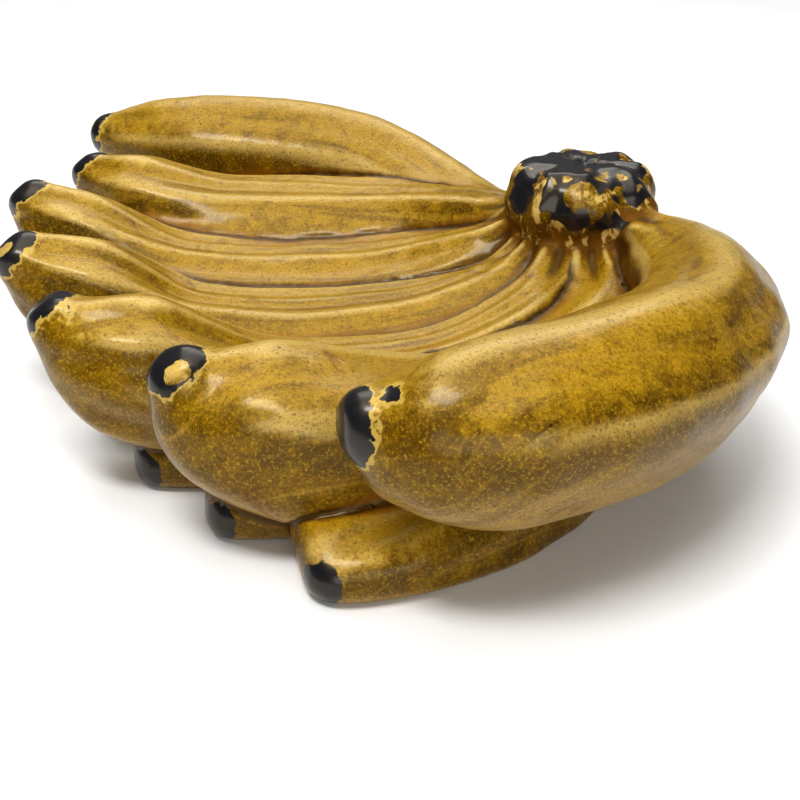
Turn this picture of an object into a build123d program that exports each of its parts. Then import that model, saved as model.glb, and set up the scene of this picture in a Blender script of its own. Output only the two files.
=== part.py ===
from build123d import *
import math
import os

os.makedirs("parts", exist_ok=True)

# A glazed ceramic dish in the shape of a hand of bananas.  Millimetres, +Z up, the origin on the
# table at the centre of the footprint box.  The crown sits towards +X and the fingers curve away
# from it towards -X.  Seven upper fingers form the bowl, nine lower ones carry it.

# The crown's axis in the dish frame.
CROWN_X = 74.83
CROWN_Y = 15.83

# Outline of the crown and its stump: (height, radius).
STUMP_FOOT_RADIUS = 20.0
STUMP_WAIST = (32.0, 18.5)
RECESS = (46.0, 21.0)
CROWN_BULGE = (59.0, 25.0)
CROWN_SHOULDER = (68.5, 20.5)
CROWN_TOP = 71.0

# Steps between two stations of a finger, for a smooth skin.
STEPS = 2

# Upper fingers.  Each station is (x, y, z, half width, half height), with x and y measured from
# the crown's axis, and the stations run from the crown to the blunt nib.
UPPER_1 = [
    (12, -10, 50, 9, 9), (26, -32, 46.5, 16, 15), (30, -64, 46, 19.5, 19.5), (18, -98, 46, 22.5, 22),
    (-6, -125, 46, 24, 23.5), (-34, -142, 46, 23.5, 23), (-53, -146.5, 46.5, 19.5, 20),
    (-62.5, -147.3, 48.3, 14.5, 15), (-67, -147.8, 49.6, 10, 10.4), (-70.8, -148.6, 50.3, 8.3, 8.3),
    (-73.2, -149.3, 50.6, 5.6, 5.6),
]
UPPER_2 = [
    (2, -16, 44, 11, 8), (0, -42, 30, 22, 11), (-16, -71, 24, 30, 13), (-43, -92.5, 23.5, 29, 16.5),
    (-70, -106, 27, 26.5, 20.5), (-90, -112.5, 30.5, 24, 23), (-106, -114, 37, 19, 20.5),
    (-112.5, -114.8, 43, 14.2, 15.2), (-115.5, -116, 47.5, 9.2, 9.6), (-117, -117.2, 50.7, 7.8, 7.8),
    (-117.8, -118, 52.6, 5.2, 5.2),
]
UPPER_3 = [
    (-7, -15, 44, 8, 7), (-22, -42, 30, 15, 9), (-46, -58, 22, 23, 10), (-75, -64, 20, 25, 11),
    (-101, -71, 22.5, 25, 13.5), (-121, -77, 28, 23, 18.5), (-138, -80, 35.5, 20.5, 21.5),
    (-150, -80, 43, 13.5, 14.5), (-155.5, -78.8, 47.5, 9, 9.4), (-158.5, -78, 50.7, 7.8, 7.8),
    (-160, -77.8, 52.6, 5.2, 5.2),
]
UPPER_4 = [
    (-13, -10, 44, 8, 7), (-36, -22, 30, 16, 9), (-62, -21, 22.5, 24, 10), (-95, -21, 20.5, 26, 10.5),
    (-128, -22, 22, 26, 11.5), (-148, -23, 28, 22, 17), (-164, -25, 36, 18, 18.5),
    (-174, -26.5, 43, 13, 13.5), (-179, -27.5, 47.5, 9, 9.4), (-182, -28, 50.7, 7.8, 7.8),
    (-183.5, -28.3, 52.6, 5.2, 5.2),
]
UPPER_5 = [
    (-16, 1, 46, 8, 7), (-38, 7, 36, 15, 9), (-66, 17, 26, 24, 10), (-100, 16, 23, 26, 11),
    (-136, 19, 23.5, 26, 12), (-158, 22, 28, 22, 16), (-175, 26, 36, 18, 18),
    (-185, 28.5, 43, 13, 13.5), (-190, 30, 47.5, 9, 9.4), (-193, 31, 50.7, 7.8, 7.8),
    (-194.5, 31.5, 52.6, 5.2, 5.2),
]
UPPER_6 = [
    (-14, 9, 47, 8, 7), (-32, 32, 42, 14, 9), (-58, 54, 36, 24, 10), (-94, 60, 33.5, 28, 12),
    (-126, 61.5, 31.5, 27, 14.5), (-148, 63, 33, 23, 18), (-163, 66.5, 38.5, 18, 17.5),
    (-172, 69.5, 43, 12.5, 13), (-177, 71.3, 46.6, 9, 9.4), (-180, 72.5, 49.4, 7.8, 7.8),
    (-181.5, 73.2, 51.2, 5.2, 5.2),
]
UPPER_7 = [
    (-10, 14, 47, 9, 8), (-27, 44, 36, 14, 12), (-46, 74, 35.5, 20, 17), (-74, 97, 40, 22.5, 21.5),
    (-108, 109, 42.5, 23, 22.5), (-140, 112.5, 44, 22, 21.5), (-162, 114.5, 46, 17.5, 18),
    (-174, 116, 48, 12.5, 13), (-179.5, 117.2, 49.4, 8.8, 9), (-183.5, 118.4, 50.3, 7.8, 7.8),
    (-186, 119.2, 50.7, 5.2, 5.2),
]

# Lower fingers: where each one's middle bends and where its blunt end stands, from the crown's
# axis.  All start inside the stump.
LOWER_ROUTES = [
    ((8, -118), (-85.5, -137.5)),
    ((-32, -100), (-113, -106.5)),
    ((-50, -72), (-136.5, -78.5)),
    ((-66, -42), (-154, -46)),
    ((-78, -12), (-166, -10)),
    ((-80, 22), (-170, 27)),
    ((-74, 52), (-162, 62)),
    ((-60, 78), (-142, 92)),
    ((-34, 88), (-108, 112)),
]
LOWER_PLAN_RADIUS = 19.0
LOWER_HALF_HEIGHT = 15.5
LOWER_AXIS_HEIGHT = 6.0
# Share of the way from the stump to the end, share of the full half width and half height.
LOWER_PROFILE = [
    (0.06, 0.35, 0.9), (0.2, 0.5, 1.0), (0.35, 0.75, 1.15), (0.5, 0.92, 1.2), (0.68, 1.0, 1.17),
    (0.84, 1.0, 0.8), (0.93, 0.96, 0.66), (0.98, 0.84, 0.58), (1.0, 0.6, 0.42),
]


def smooth_between(before, start, end, after, share):
    """A value between two stations, eased so that it never overshoots them."""
    step = end - start
    slope_in = 0.0 if before is None or (start - before) * step <= 0 else (start - before + step) / 2
    slope_out = 0.0 if after is None or (after - end) * step <= 0 else (after - end + step) / 2
    slope_in = math.copysign(min(abs(slope_in), 2 * abs(step)), step)
    slope_out = math.copysign(min(abs(slope_out), 2 * abs(step)), step)
    square, cube = share**2, share**3
    return (
        (2 * cube - 3 * square + 1) * start
        + (cube - 2 * square + share) * slope_in
        + (3 * square - 2 * cube) * end
        + (cube - square) * slope_out
    )


def finger_sections(stations):
    """Oval faces set square to the finger's centreline, with extra ones between the stations."""
    points = [Vector(x + CROWN_X, y + CROWN_Y, z) for x, y, z, width, height in stations]
    centreline = Spline(*points)
    places = [centreline.param_at_point(point) for point in points]
    faces = []
    for index in range(len(stations) - 1):
        last = index == len(stations) - 2
        for step in range(STEPS + 1 if last else STEPS):
            share = step / STEPS
            place = places[index] + (places[index + 1] - places[index]) * share
            sizes = []
            for column in (3, 4):
                before = stations[index - 1][column] if index else None
                after = None if last else stations[index + 2][column]
                start, end = stations[index][column], stations[index + 1][column]
                sizes.append(smooth_between(before, start, end, after, share))
            along = centreline.tangent_at(place)
            side = along.cross(Vector(0, 0, 1))
            plane = Plane(origin=centreline.position_at(place), x_dir=side, z_dir=along)
            faces.append((plane * Ellipse(*sizes)).face())
    return faces


def lower_stations(bend, end):
    """Stations of a lower finger along one bend from the stump to its end."""
    stations = []
    for share, width_share, height_share in LOWER_PROFILE:
        to_bend = 2 * share * (1 - share)
        x = to_bend * bend[0] + share**2 * end[0]
        y = to_bend * bend[1] + share**2 * end[1]
        z = LOWER_AXIS_HEIGHT
        stations.append((x, y, z, LOWER_PLAN_RADIUS * width_share, LOWER_HALF_HEIGHT * height_share))
    return stations


# Crown and stump, one turned solid that the fingers grow out of.
with BuildPart() as crown:
    with BuildSketch(Plane(origin=(CROWN_X, CROWN_Y, 0), z_dir=(0, -1, 0), x_dir=(1, 0, 0))):
        with BuildLine():
            Line((0, 0), (STUMP_FOOT_RADIUS, 0))
            Spline(
                (STUMP_FOOT_RADIUS, 0),
                (STUMP_WAIST[1], STUMP_WAIST[0]),
                (RECESS[1], RECESS[0]),
                (CROWN_BULGE[1], CROWN_BULGE[0]),
                (CROWN_SHOULDER[1], CROWN_SHOULDER[0]),
                (0, CROWN_TOP),
                tangents=[(0, 1), (-1, 0)],
            )
            Line((0, CROWN_TOP), (0, 0))
        make_face()
    revolve(axis=Axis((CROWN_X, CROWN_Y, 0), (0, 0, 1)))
crown.part.label = "crown"
export_step(crown.part, "parts/crown.step")

# Upper fingers, each fitted against the crown and the finger before it.
upper_stations = [UPPER_1, UPPER_2, UPPER_3, UPPER_4, UPPER_5, UPPER_6, UPPER_7]
upper_fingers = []
for number, stations in enumerate(upper_stations, start=1):
    sections = finger_sections(stations)
    with BuildPart() as upper_finger:
        loft(sections=sections, ruled=True)
        add(crown.part, mode=Mode.SUBTRACT)
        for neighbour in upper_fingers[-2:]:
            add(neighbour, mode=Mode.SUBTRACT)
    upper_finger.part.label = f"upper_finger_{number}"
    export_step(upper_finger.part, f"parts/upper_finger_{number}.step")
    upper_fingers.append(upper_finger.part)

# Lower fingers, cut flat where they stand and fitted under the upper ones.
lower_fingers = []
for number, (bend, end) in enumerate(LOWER_ROUTES, start=1):
    sections = finger_sections(lower_stations(bend, end))
    with BuildPart() as lower_finger:
        loft(sections=sections, ruled=True)
        split(bisect_by=Plane.XY, keep=Keep.TOP)
        for neighbour in [crown.part] + upper_fingers + lower_fingers[-2:]:
            add(neighbour, mode=Mode.SUBTRACT)
    lower_finger.part.label = f"lower_finger_{number}"
    export_step(lower_finger.part, f"parts/lower_finger_{number}.step")
    lower_fingers.append(lower_finger.part)
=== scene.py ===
"""Looks of a glazed ceramic dish in the shape of a hand of bananas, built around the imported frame.

The sixteen fingers and the crown are fused into one fired skin, which is then cut along the valleys
between them into seventeen shell segments, one for each node of the frame.
"""
import math

import bmesh
import bpy
import numpy as np
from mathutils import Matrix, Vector, noise
from mathutils.bvhtree import BVHTree
from mathutils.kdtree import KDTree


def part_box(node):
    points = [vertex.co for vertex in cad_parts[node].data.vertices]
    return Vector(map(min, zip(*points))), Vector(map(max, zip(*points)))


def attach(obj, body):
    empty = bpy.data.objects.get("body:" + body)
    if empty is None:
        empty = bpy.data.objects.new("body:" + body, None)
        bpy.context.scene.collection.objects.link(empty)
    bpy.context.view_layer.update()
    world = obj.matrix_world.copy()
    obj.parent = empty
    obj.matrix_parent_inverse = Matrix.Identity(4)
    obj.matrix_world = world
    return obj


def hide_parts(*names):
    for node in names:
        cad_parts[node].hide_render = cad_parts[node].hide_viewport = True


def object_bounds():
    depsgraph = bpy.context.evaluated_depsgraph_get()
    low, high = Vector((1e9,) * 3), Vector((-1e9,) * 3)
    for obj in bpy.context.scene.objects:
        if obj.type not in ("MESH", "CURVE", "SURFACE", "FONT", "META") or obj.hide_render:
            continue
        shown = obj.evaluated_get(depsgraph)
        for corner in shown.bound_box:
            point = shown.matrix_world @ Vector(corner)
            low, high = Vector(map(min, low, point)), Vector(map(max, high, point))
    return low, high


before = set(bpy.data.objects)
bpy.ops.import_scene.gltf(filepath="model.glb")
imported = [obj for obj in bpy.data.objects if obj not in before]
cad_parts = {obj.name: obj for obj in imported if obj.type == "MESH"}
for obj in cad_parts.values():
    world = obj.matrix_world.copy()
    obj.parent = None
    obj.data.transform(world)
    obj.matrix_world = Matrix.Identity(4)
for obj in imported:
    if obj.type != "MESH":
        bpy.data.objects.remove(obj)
cad_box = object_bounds()

MM = 0.001

# Skin
VOXEL = 1.15 * MM
WELD = 0.002 * MM
FUSE = 0.45 * MM            # how far neighbouring pieces are swollen so that they fuse
SOFTEN_STEPS = 24           # rounds of smoothing over the whole skin
NIB_SOFTEN_STEPS = 14       # rounds that the nibs get
NIB_FADE = 8                # how far past a nib's black the full smoothing is reached, mm
WALL = 3.5 * MM             # thickness of the cast wall
LABEL_STEPS = 8             # rounds of smoothing of the borders between segments
BORDER_STEPS = 8            # rounds of straightening of the cuts between segments
FLOOR_SKIN = 0.3 * MM       # what lies lower than this stands on the floor and gets no relief
INNER_FLOOR = 0.7 * MM      # how far the inside of the wall keeps off the floor
HOLLOW_STEPS = 90           # how wide a stretch of skin is averaged to tell hollows from ridges
HOLLOW_BLEND_STEPS = 6

# Modelled relief
GROOVE_DEPTH = 0.75 * MM    # a scored line in the bottom of every valley
GROOVE_WIDTH = 1.3 * MM
RIB_HEIGHT = 1.0 * MM       # the long facets of a banana
RIB_COUNT = 5
INNER_RIB_COUNT = 8         # the fingers that make the bowl show narrower ones
INNER = ("upper_finger_3", "upper_finger_4", "upper_finger_5", "upper_finger_6")
LOWER_RIB_SHARE = 0.5       # how high the lower fingers' facets are, as a share
RIB_BLEND_STEPS = 6
RIB_FADE = (0.2, 0.12)      # share of a finger over which its facets rise and die away
SPINE_CUTS = 24             # places along a finger where its middle is found
SPINE_LEAST = 8             # vertices that a place needs to be counted
SPINE_ORDER = 4
NECK_RIDGE = 1.6 * MM       # narrow ridges that run out of the crown's foot
NECK_COUNT = 18
NECK_REACH = 42 * MM        # how far from the crown's axis they end
NECK_FADE = 0.4             # share of that reach over which they die away
NECK_BLEND_STEPS = 4
RECESS_STEPS = 70           # how wide the dark ring of painted shade round the crown's foot is, in rounds of smoothing
STREAK_SQUEEZE = 0.13       # a streak of glaze's width, as a share of its length
STREAK_SHIFT = 0.2          # how far apart in the noise two fingers' streaks are drawn
HAND_WAVE = 0.35 * MM       # unevenness of a hand-finished cast
HAND_WAVE_LENGTH = 24 * MM
GLAZE_WAVE = 0.05 * MM      # orange peel of the glaze
GLAZE_WAVE_LENGTH = 4.5 * MM
CROWN_LUMP = 1.1 * MM       # the crown's own lumps and flutes
CROWN_LUMP_LENGTH = 9 * MM
CROWN_FLUTE = 0.6 * MM
CROWN_FLUTES = 8
CROWN_BLEND_STEPS = 10

# Painted tips, in mm: how far the black reaches from each nib's flat end and from each lower
# finger's outer end, and, by number of the upper finger, where from its nib's end it has a stray
# flake of black and a patch that is worn back to the glaze.
NIB_REACH = (11.2, 8.8, 10.0, 9.8, 10.6, 9.6, 10.8)
NIB_PART = 0.9              # share of a finger's reach past which its nib's end is looked for
FOOT_REACH = 6.6
FOOT_END = 1.5              # how much of a lower finger's length counts as its end
FLAKE_REACH = 2.7
FLAKES = {1: (12.0, -2.0, 7.5), 3: (10.0, -7.0, 0.0), 5: (9.0, 4.0, -6.0), 6: (11.0, -3.0, 5.0)}
WORN_REACH = 4.4
WORN_NIBS = {2: (2.6, -6.0, 0.9), 4: (-1.0, -5.0, 2.0), 5: (-4.5, 2.0, -1.5), 7: (-3.0, -3.0, 3.0)}

# Camera: where it stands, how far it looks down, and its lens
CAMERA_PLACE = (0.01516, -0.40057, 0.18732)
CAMERA_DOWN = 26.0
CAMERA_LENS = 58.5
CAMERA_SENSOR = 36.0

# Floor, world, and lights as (place, target, size, power in watts)
FLOOR_SIZE = 4.0            # from the middle to an edge
WORLD_LIGHT = 0.12
LIGHTS = {
    "key_softbox": ((-0.22, -0.42, 1.05), (0, 0, 0), (0.6, 0.26), 7.2),
    "ceiling": ((0, 0.1, 1.6), (0, 0, 0), (1.7, 1.7), 13.0),
    "front_fill": ((0.3, -1.6, 0.6), (0, 0, 0.03), (1.8, 0.8), 11.0),
    "floor_wash": ((0, 1.2, 1.4), (0, 0.8, 0), (1.6, 0.8), 10.0),
}

UPPER = [f"upper_finger_{i}" for i in range(1, 8)]
LOWER = [f"lower_finger_{i}" for i in range(1, 10)]
NAMES = ["crown"] + UPPER + LOWER


# ---------------------------------------------------------------- mesh helpers


def srgb(red, green, blue):
    """A colour given in 0 to 255 as the linear RGBA that shaders take."""
    def channel(value):
        share = value / 255
        return share / 12.92 if share <= 0.04045 else ((share + 0.055) / 1.055) ** 2.4
    return (channel(red), channel(green), channel(blue), 1.0)


def vertex_array(mesh):
    flat = np.empty(len(mesh.vertices) * 3)
    mesh.vertices.foreach_get("co", flat)
    return flat.reshape(-1, 3)


def set_vertices(mesh, points):
    mesh.vertices.foreach_set("co", points.astype(np.float32).ravel())
    mesh.update()


def normal_array(mesh):
    flat = np.empty(len(mesh.vertices) * 3)
    mesh.vertices.foreach_get("normal", flat)
    return flat.reshape(-1, 3)


def edge_array(mesh):
    flat = np.empty(len(mesh.edges) * 2, dtype=np.int32)
    mesh.edges.foreach_get("vertices", flat)
    return flat.reshape(-1, 2)


def quad_array(mesh):
    """Corner numbers of every face; the remesh gives quads only."""
    flat = np.empty(len(mesh.loops), dtype=np.int32)
    mesh.loops.foreach_get("vertex_index", flat)
    return flat.reshape(-1, 4)


class Rings:
    """The neighbours of every vertex, for averaging a field over the skin."""

    def __init__(self, edges, count):
        self.count = count
        self.to = np.concatenate([edges[:, 0], edges[:, 1]])
        self.of = np.concatenate([edges[:, 1], edges[:, 0]])
        self.valence = np.maximum(np.bincount(self.to, minlength=count), 1)

    def mean(self, field):
        if field.ndim == 1:
            return np.bincount(self.to, field[self.of], self.count) / self.valence
        return np.stack([self.mean(column) for column in field.T], axis=1)

    def smooth(self, field, steps, share=0.5):
        """Moves the field towards its neighbours' mean by a share of the way, in every round."""
        for _ in range(steps):
            field = field + share * (self.mean(field) - field)
        return field


# ---------------------------------------------------------------- the fused skin


def fused_mesh():
    """All the nodes of the frame, welded and swollen a little, as one mesh."""
    joined = bmesh.new()
    for name in NAMES:
        piece = bmesh.new()
        piece.from_mesh(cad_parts[name].data)
        bmesh.ops.remove_doubles(piece, verts=piece.verts, dist=WELD)
        piece.normal_update()
        for vertex in piece.verts:
            vertex.co += vertex.normal * FUSE
        swollen = bpy.data.meshes.new("swollen")
        piece.to_mesh(swollen)
        piece.free()
        joined.from_mesh(swollen)
        bpy.data.meshes.remove(swollen)
    mesh = bpy.data.meshes.new("fused")
    joined.to_mesh(mesh)
    joined.free()
    return mesh


def remeshed(mesh):
    """The outside of a mesh of overlapping solids as one even skin."""
    holder = bpy.data.objects.new("holder", mesh)
    bpy.context.scene.collection.objects.link(holder)
    remesh = holder.modifiers.new("skin", "REMESH")
    remesh.mode = "VOXEL"
    remesh.voxel_size = VOXEL
    depsgraph = bpy.context.evaluated_depsgraph_get()
    skin = bpy.data.meshes.new_from_object(holder.evaluated_get(depsgraph))
    bpy.data.objects.remove(holder)
    bpy.data.meshes.remove(mesh)
    return skin


def keep_largest_part(mesh):
    """Deletes what the remesh leaves inside the skin."""
    edges = edge_array(mesh)
    label = np.arange(len(mesh.vertices))
    while True:
        lowest = label.copy()
        np.minimum.at(lowest, edges[:, 0], label[edges[:, 1]])
        np.minimum.at(lowest, edges[:, 1], label[edges[:, 0]])
        lowest = lowest[lowest]
        if np.array_equal(lowest, label):
            break
        label = lowest
    values, counts = np.unique(label, return_counts=True)
    kept = values[counts.argmax()]
    work = bmesh.new()
    work.from_mesh(mesh)
    work.verts.ensure_lookup_table()
    strays = [work.verts[i] for i in np.flatnonzero(label != kept)]
    bmesh.ops.delete(work, geom=strays, context="VERTS")
    work.to_mesh(mesh)
    work.free()


def nib_end(name, crown_axis):
    """The middle of a finger's blunt end: its largest flat face far from the crown, not looking down."""
    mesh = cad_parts[name].data
    count = len(mesh.polygons)
    normals = np.empty(count * 3)
    centres = np.empty(count * 3)
    areas = np.empty(count)
    mesh.polygons.foreach_get("normal", normals)
    mesh.polygons.foreach_get("center", centres)
    mesh.polygons.foreach_get("area", areas)
    normals = normals.reshape(-1, 3)
    centres = centres.reshape(-1, 3)
    keys = np.round(normals * 100).astype(int)
    _, group = np.unique(keys, axis=0, return_inverse=True)
    group = group.ravel()
    reach = np.hypot(centres[:, 0] - crown_axis[0], centres[:, 1] - crown_axis[1])
    outer = (reach > NIB_PART * reach.max()) & (normals[:, 2] > -0.9)
    weight = np.where(outer, areas, 0.0)
    best = np.bincount(group, weight).argmax()
    chosen = group == best
    return np.average(centres[chosen], axis=0, weights=areas[chosen])


def foot_end(name, crown_axis):
    """The outer end of a lower finger: its part farthest from the crown's axis."""
    points = vertex_array(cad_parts[name].data)
    reach = np.hypot(points[:, 0] - crown_axis[0], points[:, 1] - crown_axis[1])
    return points[reach > reach.max() - FOOT_END * MM].mean(axis=0)


def node_labels(points):
    """For each point, the number of the node of the frame that is nearest to it."""
    vertices = []
    triangles = []
    owner = []
    for number, name in enumerate(NAMES):
        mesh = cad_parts[name].data
        start = len(vertices)
        vertices.extend(vertex.co.copy() for vertex in mesh.vertices)
        for polygon in mesh.polygons:
            triangles.append([start + corner for corner in polygon.vertices])
            owner.append(number)
    tree = BVHTree.FromPolygons(vertices, triangles)
    return np.array([owner[tree.find_nearest(Vector(point))[2]] for point in points])


def spine_of(name, start):
    """A smooth centre line of a finger as three polynomials of the distance in plan from start."""
    points = vertex_array(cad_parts[name].data)
    reach = np.hypot(points[:, 0] - start[0], points[:, 1] - start[1])
    cuts = np.linspace(reach.min(), reach.max(), SPINE_CUTS + 1)
    slot = np.clip(np.digitize(reach, cuts) - 1, 0, SPINE_CUTS - 1)
    middles = []
    places = []
    for number in range(SPINE_CUTS):
        inside = points[slot == number]
        if len(inside) > SPINE_LEAST:
            middles.append((inside.min(axis=0) + inside.max(axis=0)) / 2)
            places.append((cuts[number] + cuts[number + 1]) / 2)
    spine = [np.polyfit(places, column, SPINE_ORDER) for column in np.array(middles).T]
    return spine, reach.min(), reach.max()


def rib_field(points, labels, start):
    """How far each point stands out for a banana's long facets, and its place along and round it."""
    height = np.zeros(len(points))
    flow = points.copy()
    for number, name in enumerate(NAMES):
        if name == "crown":
            continue
        spine, first, last = spine_of(name, start)
        here = labels == number
        reach = np.hypot(points[here, 0] - start[0], points[here, 1] - start[1])
        reach = np.clip(reach, first, last)
        centre = np.stack([np.polyval(row, reach) for row in spine], axis=1)
        along = np.stack([np.polyval(np.polyder(row), reach) for row in spine], axis=1)
        along /= np.linalg.norm(along, axis=1, keepdims=True)
        side = np.cross(along, (0.0, 0.0, 1.0))
        side /= np.linalg.norm(side, axis=1, keepdims=True)
        over = np.cross(side, along)
        away = points[here] - centre
        angle = np.arctan2((away * side).sum(axis=1), (away * over).sum(axis=1))
        travel = (reach - first) / (last - first)
        taper = np.clip(travel / RIB_FADE[0], 0, 1) * np.clip((1 - travel) / RIB_FADE[1], 0, 1)
        count = INNER_RIB_COUNT if name in INNER else RIB_COUNT
        turned = 0.9 * math.sin(2.3 * number)    # so that no two fingers have their facets alike
        wave = np.cos(count * angle + turned)
        size = RIB_HEIGHT if name in UPPER else LOWER_RIB_SHARE * RIB_HEIGHT
        height[here] = size * taper * (0.6 * wave + 0.4 * np.abs(wave) * wave)
        round_it = angle * np.linalg.norm(away, axis=1)
        apart = np.full(len(reach), STREAK_SHIFT * number)
        flow[here] = np.stack([reach * STREAK_SQUEEZE, round_it, apart], axis=1)
    return height, flow


def beyond(points, places, reach):
    """How far each point is outside the nearest of some balls, in mm, and negative inside them."""
    reaches = np.broadcast_to(reach, len(places))
    pairs = zip(places, reaches)
    gaps = [np.linalg.norm(points - place, axis=1) / MM - size for place, size in pairs]
    return np.min(gaps, axis=0)


def distance_to(places, points):
    """How far each point is from the nearest of the places."""
    tree = KDTree(len(places))
    for number, place in enumerate(places):
        tree.insert(place, number)
    tree.balance()
    return np.array([tree.find(point)[2] for point in points])


def noise_field(points, length, seed):
    """Smooth noise of one wavelength over the points, about -1 to 1."""
    shift = Vector((seed * 7.3, seed * 3.1, seed * 5.7))
    return np.array([noise.noise(Vector(point) / length + shift) for point in points]) * 2


def build_skin():
    """The whole fired skin, with its relief and the fields that the glaze is painted by."""
    mesh = remeshed(fused_mesh())
    keep_largest_part(mesh)
    points = vertex_array(mesh)
    rings = Rings(edge_array(mesh), len(points))

    crown_low, crown_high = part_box("crown")
    crown_axis = np.array([(crown_low.x + crown_high.x) / 2, (crown_low.y + crown_high.y) / 2])
    nibs = np.array([nib_end(name, crown_axis) for name in UPPER])
    feet = np.array([foot_end(name, crown_axis) for name in LOWER])
    flakes = [nibs[number - 1] + np.array(offset) * MM for number, offset in FLAKES.items()]
    worn = [nibs[number - 1] + np.array(offset) * MM for number, offset in WORN_NIBS.items()]

    # Soften everything, and the nibs less than the rest.
    points = rings.smooth(points, NIB_SOFTEN_STEPS)
    loose = np.clip(beyond(points, nibs, NIB_REACH) / NIB_FADE, 0, 1)[:, None]
    points = rings.smooth(points, SOFTEN_STEPS, share=0.5 * loose)
    points[:, 2] = np.maximum(points[:, 2], 0)

    # Which piece each face belongs to, and how far each vertex is from the seams between pieces.
    shares = rings.smooth(np.eye(len(NAMES))[node_labels(points)], LABEL_STEPS)
    labels = shares.argmax(axis=1)
    quads = quad_array(mesh)
    owner = shares[quads].sum(axis=1).argmax(axis=1)
    points, seam_vertices = straighten_borders(points, quads, owner, BORDER_STEPS)
    set_vertices(mesh, points)
    normals = normal_array(mesh)
    seam = distance_to(points[seam_vertices], points)

    # Relief of the fingers: long facets, the cast's unevenness, the glaze's orange peel, the valleys.
    start = np.array([cad_box[1][0], crown_axis[1]])
    ribs, flow = rib_field(points, labels, start)
    ribs = rings.smooth(ribs, RIB_BLEND_STEPS)
    relief = ribs + HAND_WAVE * noise_field(points, HAND_WAVE_LENGTH, 1)
    relief += GLAZE_WAVE * noise_field(points, GLAZE_WAVE_LENGTH, 2)
    crown_share = rings.smooth((labels == 0).astype(float), CROWN_BLEND_STEPS)
    recess = rings.smooth(crown_share, RECESS_STEPS)
    ring = 4 * recess * (1 - recess)
    relief -= GROOVE_DEPTH * np.exp(-((seam / GROOVE_WIDTH) ** 2)) * (1 - ring)

    # Relief of the crown: unevenly spaced ridges out of its foot, and its own flutes and lumps.
    turn = np.arctan2(points[:, 1] - crown_axis[1], points[:, 0] - crown_axis[0])
    out = np.hypot(points[:, 0] - crown_axis[0], points[:, 1] - crown_axis[1])
    fade = np.clip((NECK_REACH - out) / (NECK_FADE * NECK_REACH), 0, 1) * (1 - crown_share)
    fade = fade * (normals[:, 2] > 0)
    neck_wave = np.cos(NECK_COUNT * turn + 0.8 * np.sin(5 * turn))
    necks = rings.smooth(fade * neck_wave, NECK_BLEND_STEPS)
    relief += NECK_RIDGE * necks
    flutes = CROWN_FLUTE * np.cos(CROWN_FLUTES * turn + 1.5 * np.sin(3 * turn))
    lumps = CROWN_LUMP * noise_field(points, CROWN_LUMP_LENGTH, 3)
    relief += crown_share * (flutes + lumps - 0.4 * CROWN_LUMP)
    relief[points[:, 2] < FLOOR_SKIN] = 0
    points = points + normals * relief[:, None]
    points = np.clip(points, np.array(cad_box[0]), np.array(cad_box[1]))
    set_vertices(mesh, points)
    normals = normal_array(mesh)

    # Fields for the glaze and for the light and shade painted on it.
    hollow = ((rings.smooth(points, HOLLOW_STEPS) - points) * normals).sum(axis=1) / MM
    fields = {
        "hollow": rings.smooth(hollow, HOLLOW_BLEND_STEPS),
        "seam": seam / MM,
        "rib": ribs / RIB_HEIGHT,
        "nib": np.minimum(beyond(points, nibs, NIB_REACH), beyond(points, flakes, FLAKE_REACH)),
        "foot": beyond(points, feet, FOOT_REACH),
        "worn": beyond(points, worn, WORN_REACH),
        "crown_share": crown_share,
        "recess": ring,
        "neck": necks,
        "flow": flow,
    }
    bpy.data.meshes.remove(mesh)
    return points, normals, quads, owner, fields


# ---------------------------------------------------------------- cutting the skin into segments


def segment(name, quads, points, normals, fields):
    """A closed shell segment: its part of the skin, the same faces one wall further in, and a rim."""
    used = np.unique(quads)
    local = np.full(len(points), -1)
    local[used] = np.arange(len(used))
    outer = local[quads]
    inner = outer[:, ::-1] + len(used)
    sides = np.concatenate([outer[:, [i, (i + 1) % 4]] for i in range(4)])
    key = np.sort(sides, axis=1)
    _, where, count = np.unique(key, axis=0, return_index=True, return_counts=True)
    border = sides[where[count == 1]]
    rim = np.stack(
        [border[:, 1], border[:, 0], border[:, 0] + len(used), border[:, 1] + len(used)], axis=1
    )
    skin_points = points[used]
    skin_normals = normals[used]
    inner_points = skin_points - skin_normals * WALL
    inner_points[:, 2] = np.maximum(inner_points[:, 2], INNER_FLOOR)
    faces = np.concatenate([outer, inner, rim])
    mesh = bpy.data.meshes.new(name)
    mesh.from_pydata(np.concatenate([skin_points, inner_points]).tolist(), [], faces.tolist())
    mesh.polygons.foreach_set("use_smooth", np.ones(len(faces), dtype=bool))
    mesh.update()
    mesh.normals_split_custom_set_from_vertices(
        np.concatenate([skin_normals, -skin_normals]).tolist()
    )
    for field, values in fields.items():
        both = np.concatenate([values[used], values[used]]).astype(np.float32)
        if values.ndim == 1:
            mesh.attributes.new(field, "FLOAT", "POINT").data.foreach_set("value", both)
        else:
            mesh.attributes.new(field, "FLOAT_VECTOR", "POINT").data.foreach_set("vector", both.ravel())
    piece = bpy.data.objects.new(name, mesh)
    bpy.context.scene.collection.objects.link(piece)
    return piece


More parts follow.
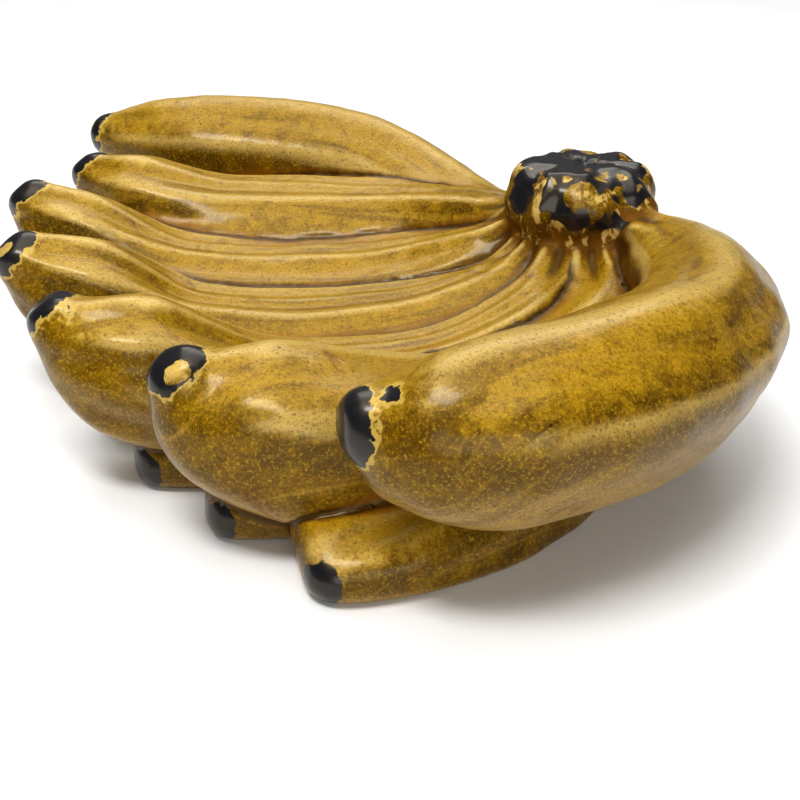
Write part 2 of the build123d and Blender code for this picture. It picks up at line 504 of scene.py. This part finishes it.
def straighten_borders(points, quads, face_label, steps):
    """Moves the vertices on the borders between segments along them, so that the cuts run smoothly."""
    sides = np.concatenate([quads[:, [i, (i + 1) % 4]] for i in range(4)])
    owner = np.tile(face_label, 4)
    key = np.sort(sides, axis=1)
    order = np.lexsort((key[:, 1], key[:, 0]))
    key, owner = key[order], owner[order]
    pair = (key[:-1] == key[1:]).all(axis=1) & (owner[:-1] != owner[1:])
    cut = key[:-1][pair]
    rings = Rings(cut, len(points))
    on_cut = np.zeros(len(points), dtype=bool)
    on_cut[cut.ravel()] = True
    ends = np.bincount(cut.ravel(), minlength=len(points)) == 2
    free = (on_cut & ends)[:, None]
    moved = points.copy()
    for _ in range(steps):
        moved = np.where(free, moved + 0.5 * (rings.mean(moved) - moved), moved)
    return moved, np.flatnonzero(on_cut)


# ---------------------------------------------------------------- materials


class Paint:
    """Short names for the shader nodes of one material."""

    def __init__(self, name):
        self.material = bpy.data.materials.new(name)
        self.material.use_nodes = True
        self.tree = self.material.node_tree
        self.shader = self.tree.nodes["Principled BSDF"]
        self.place = self.tree.nodes.new("ShaderNodeTexCoord").outputs["Object"]

    def link(self, value, socket):
        if isinstance(value, bpy.types.NodeSocket):
            self.tree.links.new(value, socket)
        else:
            socket.default_value = value

    def math(self, operation, first, second=0.0, third=0.0):
        node = self.tree.nodes.new("ShaderNodeMath")
        node.operation = operation
        for value, socket in zip((first, second, third), node.inputs):
            self.link(value, socket)
        return node.outputs[0]

    def noise(self, length, detail=2.0, rough=0.5, warp=0.0, place=None):
        """Noise whose blotches are about this long, in metres."""
        node = self.tree.nodes.new("ShaderNodeTexNoise")
        node.inputs["Scale"].default_value = 1 / length
        node.inputs["Detail"].default_value = detail
        node.inputs["Roughness"].default_value = rough
        node.inputs["Distortion"].default_value = warp
        self.tree.links.new(place or self.place, node.inputs["Vector"])
        return node.outputs["Fac"]

    def stretched(self, x, y, z):
        """The object's coordinates, squeezed so that noise on them is drawn out along an axis."""
        node = self.tree.nodes.new("ShaderNodeMapping")
        node.inputs["Scale"].default_value = (x, y, z)
        self.tree.links.new(self.place, node.inputs["Vector"])
        return node.outputs["Vector"]

    def grains(self, length):
        """Small dots: how far from a dot's middle (0 to 1 or so), and a random value for each dot."""
        node = self.tree.nodes.new("ShaderNodeTexVoronoi")
        node.inputs["Scale"].default_value = 1 / length
        self.tree.links.new(self.place, node.inputs["Vector"])
        split = self.tree.nodes.new("ShaderNodeSeparateColor")
        self.tree.links.new(node.outputs["Color"], split.inputs["Color"])
        return node.outputs["Distance"], split.outputs["Red"], split.outputs["Green"]

    def field(self, name, output="Fac"):
        node = self.tree.nodes.new("ShaderNodeAttribute")
        node.attribute_name = name
        return node.outputs[output]

    def step(self, value, low, high, bottom=0.0, top=1.0):
        """A smooth step from bottom, where the value is at low, to top, where it is at high."""
        node = self.tree.nodes.new("ShaderNodeMapRange")
        node.interpolation_type = "SMOOTHSTEP"
        self.link(value, node.inputs["Value"])
        self.link(low, node.inputs["From Min"])
        self.link(high, node.inputs["From Max"])
        node.inputs["To Min"].default_value = bottom
        node.inputs["To Max"].default_value = top
        return node.outputs["Result"]

    def mix(self, share, under, over):
        node = self.tree.nodes.new("ShaderNodeMix")
        node.data_type = "RGBA"
        self.link(share, node.inputs["Factor"])
        self.link(under, node.inputs["A"])
        self.link(over, node.inputs["B"])
        return node.outputs["Result"]

    def slope(self):
        """How much the surface looks up: 1 up, -1 down."""
        node = self.tree.nodes.new("ShaderNodeNewGeometry")
        split = self.tree.nodes.new("ShaderNodeSeparateXYZ")
        self.tree.links.new(node.outputs["Normal"], split.inputs["Vector"])
        return split.outputs["Z"]

    def bump(self, height, strength, distance):
        node = self.tree.nodes.new("ShaderNodeBump")
        node.inputs["Strength"].default_value = strength
        node.inputs["Distance"].default_value = distance
        self.link(height, node.inputs["Height"])
        return node.outputs["Normal"]


# Lengths of the glaze's patterns
CLOUD = 24 * MM
MOTTLE = 6 * MM
FINE_GRAIN = 0.9 * MM
GRAIN = 0.62 * MM
IRON_SPACING = 7 * MM
BURN_SPACING = 26 * MM
STREAK = 4.5 * MM
WIDE_STREAK = 11 * MM
BROWN_PATCH = 14 * MM
CHIPPED_EDGE = 6.5 * MM
CHIP_SIZE = 1.7 * MM
SCRATCH = 1.1 * MM
PEEL = 2.2 * MM
SHINE_PATCH = 8 * MM
CROWN_EDGE = 7 * MM
BLOT = 9 * MM
CROWN_MOTTLE = 4.5 * MM
TAN_MARK = 3.6 * MM
BUMP_HEIGHT = 0.16 * MM
GLAZE_IOR = 1.5

# Colours of the glaze and of the light and shade painted on it
AMBER_DEEP = srgb(82, 58, 0)
AMBER = srgb(118, 88, 0)
GOLD = srgb(172, 134, 26)
HONEY_BROWN = srgb(96, 54, 0)
CREAM = srgb(216, 186, 112)
FLOOR_LIGHT_TAUPE = srgb(166, 136, 82)
CREASE_SHADE_BROWN = srgb(56, 34, 2)
POOL_GOLD = srgb(150, 94, 0)
POOL_AND_SHADE_BROWN = srgb(98, 60, 0)
STREAK_OLIVE = srgb(92, 64, 0)
STREAK_TAN = srgb(160, 124, 44)
CROWN_BROWN = srgb(92, 56, 0)
SPECK_GOLD = srgb(204, 164, 44)
SPECK_DARK = srgb(70, 46, 6)
SPECK_IRON = srgb(44, 24, 14)
TIP_BLACK = srgb(20, 22, 30)
TIP_SCUFF = srgb(70, 72, 78)
CHIP = srgb(206, 176, 92)
GLAZE_SHEEN = srgb(255, 228, 164)


def glaze(name, crown):
    """Speckled amber glaze that thins to cream on edges, pools in the valleys, with black tips, and
    painted light: lighter tops, highlights on ridges, shade in valleys and round the crown's foot.
    """
    paint = Paint(name)
    hollow = paint.field("hollow")
    seam = paint.field("seam")
    nib = paint.field("nib")
    foot = paint.field("foot")
    crown_share = paint.field("crown_share")
    up = paint.slope()

    # Slow changes of depth of the glaze.
    cloud = paint.noise(CLOUD, detail=3, rough=0.55, warp=0.6)
    mottle = paint.noise(MOTTLE, detail=4, rough=0.62, warp=0.8)
    fine = paint.noise(FINE_GRAIN, detail=4, rough=0.7)
    depth = paint.math("MULTIPLY_ADD", mottle, 0.55, paint.math("MULTIPLY", cloud, 0.45))
    colour = paint.mix(paint.step(depth, 0.42, 0.58), AMBER_DEEP, AMBER)

    # Painted light: lighter where the surface looks up, lit from above, which also stands for the glaze
    # thinning there; greyer on the bellies, lit by the pale floor below.
    lit_and_thin = paint.step(paint.math("MULTIPLY_ADD", mottle, 0.7, up), 0.8, 1.3)
    colour = paint.mix(paint.math("MULTIPLY", lit_and_thin, 0.8), colour, GOLD)
    belly_floor_light = paint.step(paint.math("MULTIPLY_ADD", mottle, 0.4, up), 0.05, -0.55)
    colour = paint.mix(paint.math("MULTIPLY", belly_floor_light, 0.75), colour, FLOOR_LIGHT_TAUPE)

    # Streaks of thicker and thinner glaze along the fingers.
    flow = paint.field("flow", "Vector")
    streak = paint.noise(STREAK, detail=4, rough=0.6, warp=0.4, place=flow)
    wide_streak = paint.noise(WIDE_STREAK, detail=2, rough=0.5, warp=0.3, place=flow)
    runs = paint.math("MULTIPLY_ADD", streak, 0.6, paint.math("MULTIPLY", wide_streak, 0.4))
    colour = paint.mix(paint.step(runs, 0.5, 0.62, 0.0, 0.6), colour, STREAK_OLIVE)
    colour = paint.mix(paint.step(runs, 0.46, 0.34, 0.0, 0.55), colour, STREAK_TAN)

    # Brown clouds.
    brown = paint.step(paint.noise(BROWN_PATCH, detail=4, rough=0.65, warp=1.5), 0.55, 0.72)
    colour = paint.mix(paint.math("MULTIPLY", brown, 0.6), colour, HONEY_BROWN)

    # Thin glaze on what stands proud, with a painted highlight on the ridges and tops that look up.
    ridge = paint.math("SUBTRACT", paint.math("MULTIPLY", mottle, 1.2), hollow)
    thin_and_highlit = paint.step(paint.math("MULTIPLY_ADD", up, 1.4, ridge), 2.3, 3.4)
    proud = paint.step(paint.math("MULTIPLY_ADD", streak, 1.2, paint.field("rib")), 0.9, 1.5)
    proud = paint.math("MULTIPLY", proud, paint.step(up, 0.0, 0.5))
    thin_and_highlit = paint.math("MAXIMUM", thin_and_highlit, paint.math("MULTIPLY", proud, 0.8))
    colour = paint.mix(paint.math("MULTIPLY", thin_and_highlit, 0.66), colour, CREAM)

    # Speckle: crowded fine grains, gold and dark.
    patchy = paint.step(cloud, 0.3, 0.6, 0.35, 1.0)
    colour = paint.mix(paint.math("MULTIPLY", paint.step(fine, 0.52, 0.68), 0.4), colour, SPECK_GOLD)
    colour = paint.mix(paint.math("MULTIPLY", paint.step(fine, 0.47, 0.34), 0.6), colour, SPECK_DARK)
    near, kind, size = paint.grains(GRAIN)
    dot = paint.step(near, paint.math("MULTIPLY_ADD", size, 0.25, 0.32), 0.12)
    golden = paint.math("MULTIPLY", dot, paint.step(kind, 0.66, 0.7))
    dusky = paint.math("MULTIPLY", dot, paint.step(kind, 0.24, 0.2))
    golden = paint.math("MULTIPLY", golden, paint.math("MULTIPLY", patchy, 0.42))
    dusky = paint.math("MULTIPLY", dusky, paint.math("MULTIPLY", patchy, 0.8))
    colour = paint.mix(golden, colour, SPECK_GOLD)
    colour = paint.mix(dusky, colour, SPECK_DARK)

    # Larger iron specks, a few of them burnt out to brown spots.
    far, pick, _ = paint.grains(IRON_SPACING)
    iron = paint.math("MULTIPLY", paint.step(far, 0.085, 0.045), paint.step(pick, 0.72, 0.76))
    wide, rare, _ = paint.grains(BURN_SPACING)
    burn = paint.math("MULTIPLY", paint.step(wide, 0.055, 0.03), paint.step(rare, 0.6, 0.64))
    specks = paint.math("MAXIMUM", iron, burn)
    colour = paint.mix(paint.math("MULTIPLY", specks, 0.85), colour, SPECK_IRON)

    # Glaze pools golden beside the valleys and turns brown in them, where painted shade darkens them
    # too: a brown halo and a dark line along each valley.
    pool = paint.step(paint.math("MULTIPLY_ADD", mottle, 0.8, hollow), 0.5, 1.9)
    colour = paint.mix(paint.math("MULTIPLY", pool, 0.6), colour, POOL_GOLD)
    shade = paint.math("MULTIPLY_ADD", mottle, 2.2, seam)
    valley_shade = paint.math("MULTIPLY", paint.step(shade, 5.6, 1.8), paint.step(hollow, 0.0, 0.7))
    colour = paint.mix(paint.math("MULTIPLY", valley_shade, 0.65), colour, POOL_AND_SHADE_BROWN)
    foot_ring = paint.field("recess")
    # Painted shade, with the brown of pooled glaze: a dark line along each valley, left out in the ring
    # round the crown's foot.
    line = paint.step(paint.math("MULTIPLY_ADD", mottle, 2.2, seam), 2.7, 1.5)
    line = paint.math("MULTIPLY", line, paint.step(hollow, -0.5, 0.1))
    line = paint.math("MULTIPLY", line, paint.step(foot_ring, 0.6, 0.1))
    colour = paint.mix(paint.math("MULTIPLY", line, 0.9), colour, CREASE_SHADE_BROWN)

    # The crown's foot sits in a dark ring of painted shade. Narrow ridges run out of it, pale with a
    # painted highlight, between brown grooves of painted shade.
    neck = paint.field("neck")
    colour = paint.mix(paint.step(foot_ring, 0.3, 0.9, 0.0, 0.45), colour, POOL_AND_SHADE_BROWN)
    colour = paint.mix(paint.step(neck, -0.1, -0.6, 0.0, 0.8), colour, CREASE_SHADE_BROWN)
    colour = paint.mix(paint.step(neck, 0.35, 0.8, 0.0, 0.6), colour, CREAM)

    # Black on the tips, with chipped edges ringed in pale yellow.
    edge = paint.noise(CHIPPED_EDGE, detail=2, rough=0.5, warp=0.5)
    flake = paint.noise(CHIP_SIZE, detail=3, rough=0.6)
    rough_edge = paint.math("MULTIPLY_ADD", edge, 8.0, paint.math("MULTIPLY_ADD", flake, 2.6, -5.3))
    nib_out = paint.math("ADD", nib, rough_edge)
    foot_out = paint.math("MULTIPLY_ADD", rough_edge, 0.6, foot)
    black_nib = paint.step(nib_out, 0.15, -0.15)
    black_foot = paint.step(foot_out, 0.3, -0.3)
    ring = paint.math("MULTIPLY", paint.step(nib_out, 1.3, 0.7), paint.step(nib_out, -1.6, -0.8))
    colour = paint.mix(paint.math("MULTIPLY", ring, 0.6), colour, CHIP)
    worn_out = paint.math("MULTIPLY_ADD", rough_edge, 0.45, paint.field("worn"))
    worn = paint.step(worn_out, 0.12, -0.12)
    black = paint.math("MAXIMUM", paint.math("SUBTRACT", black_nib, worn), black_foot)
    scratch = paint.noise(SCRATCH, detail=4, rough=0.7, place=paint.stretched(1, 1, 4))
    scuff = paint.step(scratch, 0.56, 0.75)
    tip_colour = paint.mix(paint.math("MULTIPLY", scuff, 0.4), TIP_BLACK, TIP_SCUFF)

    if crown:
        colour, black = crown_marks(paint, colour, black, crown_share)
    colour = paint.mix(black, colour, tip_colour)

    # An uneven, glossy surface, duller in the valleys and glossier on the black.
    peel = paint.noise(PEEL, detail=2, rough=0.5)
    lift = paint.math("MULTIPLY_ADD", black, 0.5, paint.math("MULTIPLY_ADD", fine, 0.35, peel))
    normal = paint.bump(lift, 0.45, BUMP_HEIGHT)
    shine = paint.math("MULTIPLY_ADD", paint.noise(SHINE_PATCH, detail=3), 0.2, 0.26)
    sunk = paint.math("MAXIMUM", paint.step(hollow, 0.8, 2.2), paint.step(foot_ring, 0.3, 0.9))
    gloss = paint.math("MULTIPLY_ADD", sunk, -0.85, 1.0)
    coat = paint.math("MULTIPLY_ADD", black, 0.3, 0.22)

    shader = paint.shader
    paint.link(colour, shader.inputs["Base Color"])
    paint.link(paint.math("MULTIPLY_ADD", sunk, 0.3, shine), shader.inputs["Roughness"])
    paint.link(normal, shader.inputs["Normal"])
    paint.link(paint.math("MULTIPLY", gloss, coat), shader.inputs["Coat Weight"])
    shader.inputs["IOR"].default_value = GLAZE_IOR
    shader.inputs["Specular IOR Level"].default_value = 0.36
    shader.inputs["Specular Tint"].default_value = GLAZE_SHEEN
    shader.inputs["Coat Roughness"].default_value = 0.15
    shader.inputs["Coat IOR"].default_value = GLAZE_IOR
    return paint.material


def crown_marks(paint, colour, black, crown_share):
    """The crown's black top with round blots below it, over amber mottled with brown and tan."""
    crown_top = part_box("crown")[1].z
    split = paint.tree.nodes.new("ShaderNodeSeparateXYZ")
    paint.tree.links.new(paint.place, split.inputs["Vector"])
    above = paint.math("DIVIDE", paint.math("SUBTRACT", split.outputs["Z"], crown_top), MM)
    edge = paint.noise(CROWN_EDGE, detail=2, rough=0.5, warp=0.4)
    cap = paint.step(paint.math("MULTIPLY_ADD", edge, 12.0, above), 3.6, 4.5)
    blots = paint.step(paint.noise(BLOT, detail=1.5, rough=0.45, warp=0.5), 0.53, 0.56)
    blots = paint.math("MULTIPLY", blots, paint.step(above, -18.0, -15.0))
    marks = paint.math("MAXIMUM", cap, blots)
    marks = paint.math("MULTIPLY", marks, paint.step(crown_share, 0.35, 0.65))
    brown = paint.step(paint.noise(CROWN_MOTTLE, detail=3, rough=0.6, warp=0.8), 0.5, 0.6)
    brown = paint.math("MULTIPLY", brown, crown_share)
    colour = paint.mix(paint.math("MULTIPLY", brown, 0.75), colour, CROWN_BROWN)
    upright = paint.stretched(1, 1, 0.55)
    tan = paint.step(paint.noise(TAN_MARK, detail=3, rough=0.6, place=upright), 0.53, 0.62)
    upper_part = paint.math("MULTIPLY", crown_share, paint.step(above, -32.0, -24.0))
    tan = paint.math("MULTIPLY", tan, upper_part)
    colour = paint.mix(paint.math("MULTIPLY", tan, 0.75), colour, CREAM)
    return colour, paint.math("MAXIMUM", black, marks)


# ---------------------------------------------------------------- the dish


def build_dish():
    """The seventeen glazed segments, each one riding on the body and standing in for its node."""
    points, normals, quads, owner, fields = build_skin()
    amber = glaze("amber_glaze_paint", crown=False)
    crown_paint = glaze("crown_glaze_paint", crown=True)
    for number, name in enumerate(NAMES):
        piece = segment("glazed_" + name, quads[owner == number], points, normals, fields)
        piece.data.materials.append(crown_paint if name == "crown" else amber)
        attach(piece, "root")
        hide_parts(name)


# ---------------------------------------------------------------- stage, light and camera


def floor_paint():
    paint = Paint("pale_floor_paint")
    grain = paint.noise(60 * MM, detail=2)
    colour = paint.mix(grain, srgb(240, 240, 240), srgb(246, 246, 245))
    paint.link(colour, paint.shader.inputs["Base Color"])
    paint.shader.inputs["Roughness"].default_value = 0.8
    return paint.material


def build_stage():
    mesh = bpy.data.meshes.new("floor")
    corners = [(x * FLOOR_SIZE, y * FLOOR_SIZE, 0) for x, y in ((-1, -1), (1, -1), (1, 1), (-1, 1))]
    mesh.from_pydata(corners, [], [(0, 1, 2, 3)])
    floor = bpy.data.objects.new("floor", mesh)
    bpy.context.scene.collection.objects.link(floor)
    floor.data.materials.append(floor_paint())
    world = bpy.data.worlds.new("studio")
    world.use_nodes = True
    world.node_tree.nodes["Background"].inputs["Color"].default_value = (1, 1, 1, 1)
    world.node_tree.nodes["Background"].inputs["Strength"].default_value = WORLD_LIGHT
    bpy.context.scene.world = world


def area_light(name, place, target, size, power):
    light = bpy.data.lights.new(name, "AREA")
    light.shape = "RECTANGLE"
    light.size, light.size_y = size
    light.energy = power
    lamp = bpy.data.objects.new(name, light)
    lamp.location = place
    lamp.rotation_euler = (Vector(target) - Vector(place)).to_track_quat("-Z", "Y").to_euler()
    bpy.context.scene.collection.objects.link(lamp)


def build_lights():
    for name, (place, target, size, power) in LIGHTS.items():
        area_light(name, place, target, size, power)


def build_camera():
    data = bpy.data.cameras.new("camera")
    data.lens = CAMERA_LENS
    data.sensor_width = CAMERA_SENSOR
    data.clip_start = 0.01
    camera = bpy.data.objects.new("camera", data)
    camera.location = CAMERA_PLACE
    camera.rotation_euler = (math.radians(90 - CAMERA_DOWN), 0, 0)
    bpy.context.scene.collection.objects.link(camera)
    bpy.context.scene.camera = camera
    bpy.context.scene.view_settings.view_transform = "Standard"
    bpy.context.scene.view_settings.look = "Medium High Contrast"


build_camera()
build_dish()
build_stage()
build_lights()
